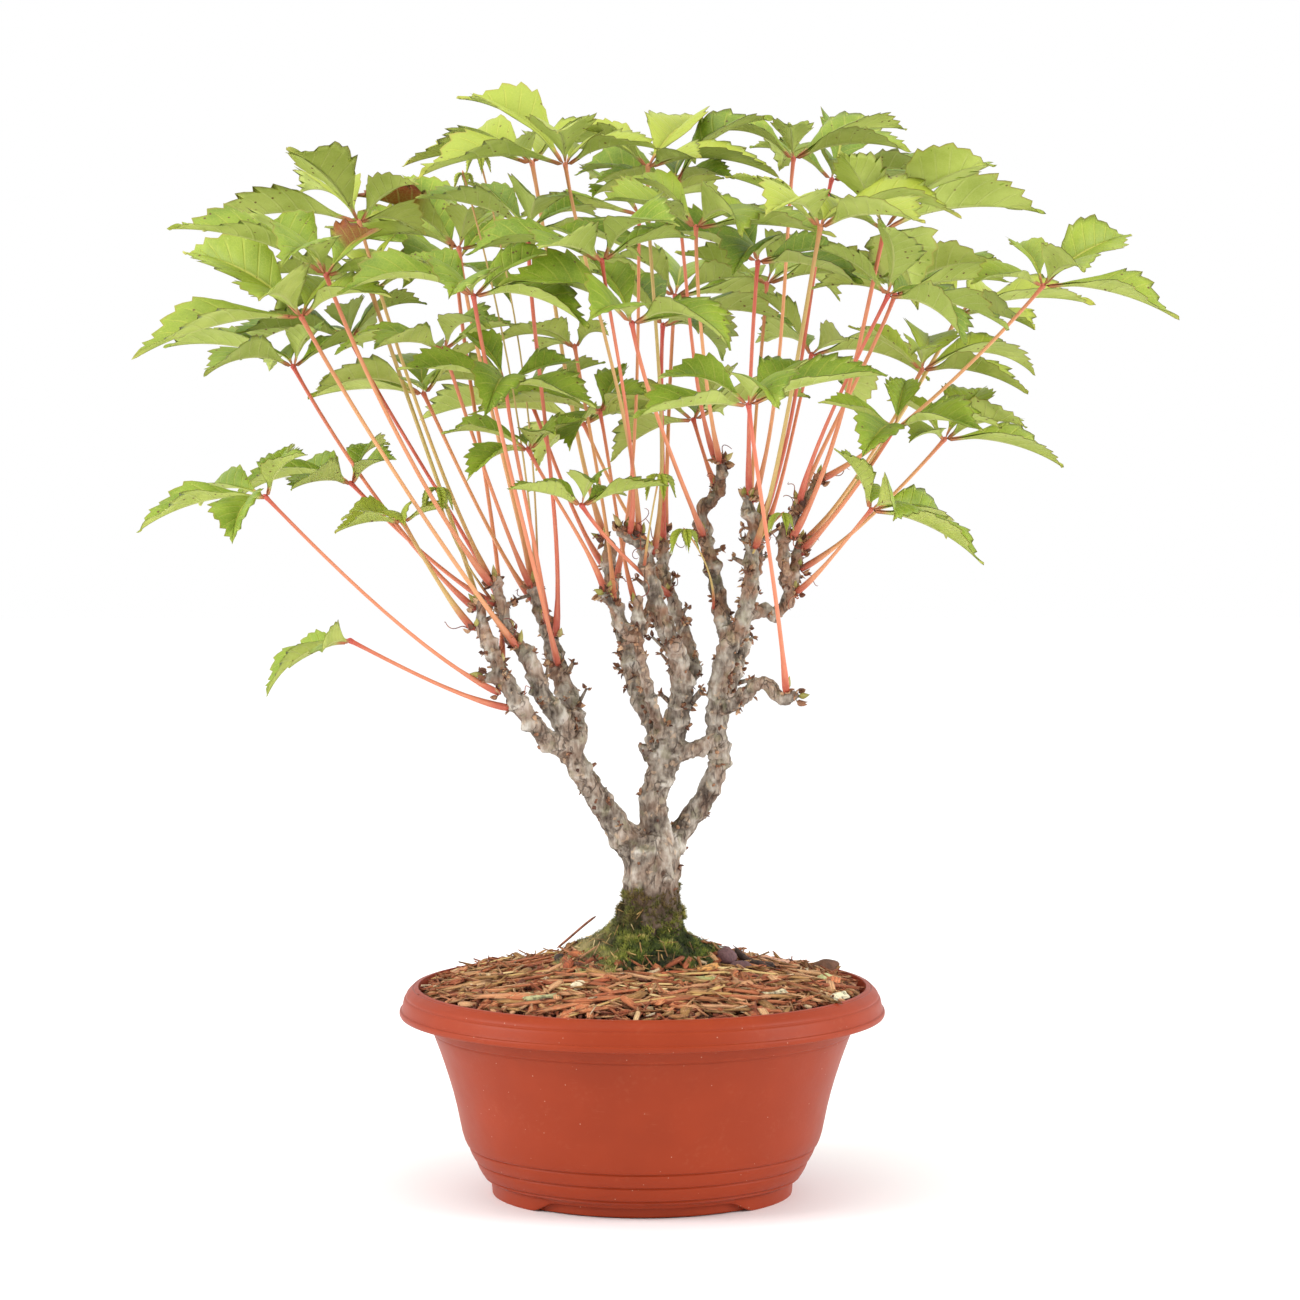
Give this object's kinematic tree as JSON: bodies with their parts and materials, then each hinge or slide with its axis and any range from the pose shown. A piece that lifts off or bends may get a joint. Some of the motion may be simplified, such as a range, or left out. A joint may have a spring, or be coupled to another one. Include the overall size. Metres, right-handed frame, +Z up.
{
  "type": "potted bonsai tree",
  "caption": "Five-leaved creeper grown as a bonsai, with a forked trunk and a fan of long-stalked leaves, in a round plastic bowl with wood chips and moss.",
  "frame": {"origin": "under the middle of the whole plant's box, on the surface that the bowl stands on", "axes": "+Z up along the trunk, which is the longest extent; the front of the plant faces -Y; +X to the right seen from the front"},
  "size_m": [0.5232, 0.3906, 0.5665],
  "materials": {
    "pot_plastic": "satin",
    "potting_mix": "matte",
    "wood_chips": "matte",
    "moss": "matte",
    "bark": "matte",
    "leaf_green": "satin"
  },
  "bodies": {
    "root": {"leaf_01": "leaf_green", "leaf_02": "leaf_green", "leaf_03": "leaf_green", "leaf_04": "leaf_green", "leaf_05": "leaf_green", "leaf_06": "leaf_green", "leaf_07": "leaf_green", "leaf_08": "leaf_green", "leaf_09": "leaf_green", "leaf_10": "leaf_green", "leaf_11": "leaf_green", "leaf_12": "leaf_green", "leaf_13": "leaf_green", "leaf_14": "leaf_green", "leaf_15": "leaf_green", "leaf_16": "leaf_green", "leaf_17": "leaf_green", "leaf_18": "leaf_green", "leaf_19": "leaf_green", "leaf_20": "leaf_green", "leaf_21": "leaf_green", "leaf_22": "leaf_green", "leaf_23": "leaf_green", "leaf_24": "leaf_green", "leaf_25": "leaf_green", "leaf_26": "leaf_green", "leaf_27": "leaf_green", "leaf_28": "leaf_green", "leaf_29": "leaf_green", "leaf_30": "leaf_green", "leaf_31": "leaf_green", "leaf_32": "leaf_green", "leaf_33": "leaf_green", "leaf_34": "leaf_green", "leaf_35": "leaf_green", "leaf_36": "leaf_green", "leaf_37": "leaf_green", "leaf_38": "leaf_green", "leaf_39": "leaf_green", "leaf_40": "leaf_green", "leaf_41": "leaf_green", "leaf_42": "leaf_green", "leaf_43": "leaf_green", "leaf_44": "leaf_green", "leaf_45": "leaf_green", "leaf_46": "leaf_green", "leaf_47": "leaf_green", "leaf_48": "leaf_green", "leaf_49": "leaf_green", "leaf_50": "leaf_green", "moss_cushion": "moss", "mulch_layer": "wood_chips", "pot": "pot_plastic", "potting_mix": "potting_mix", "tree": "bark"}
  },
  "joints": []
}
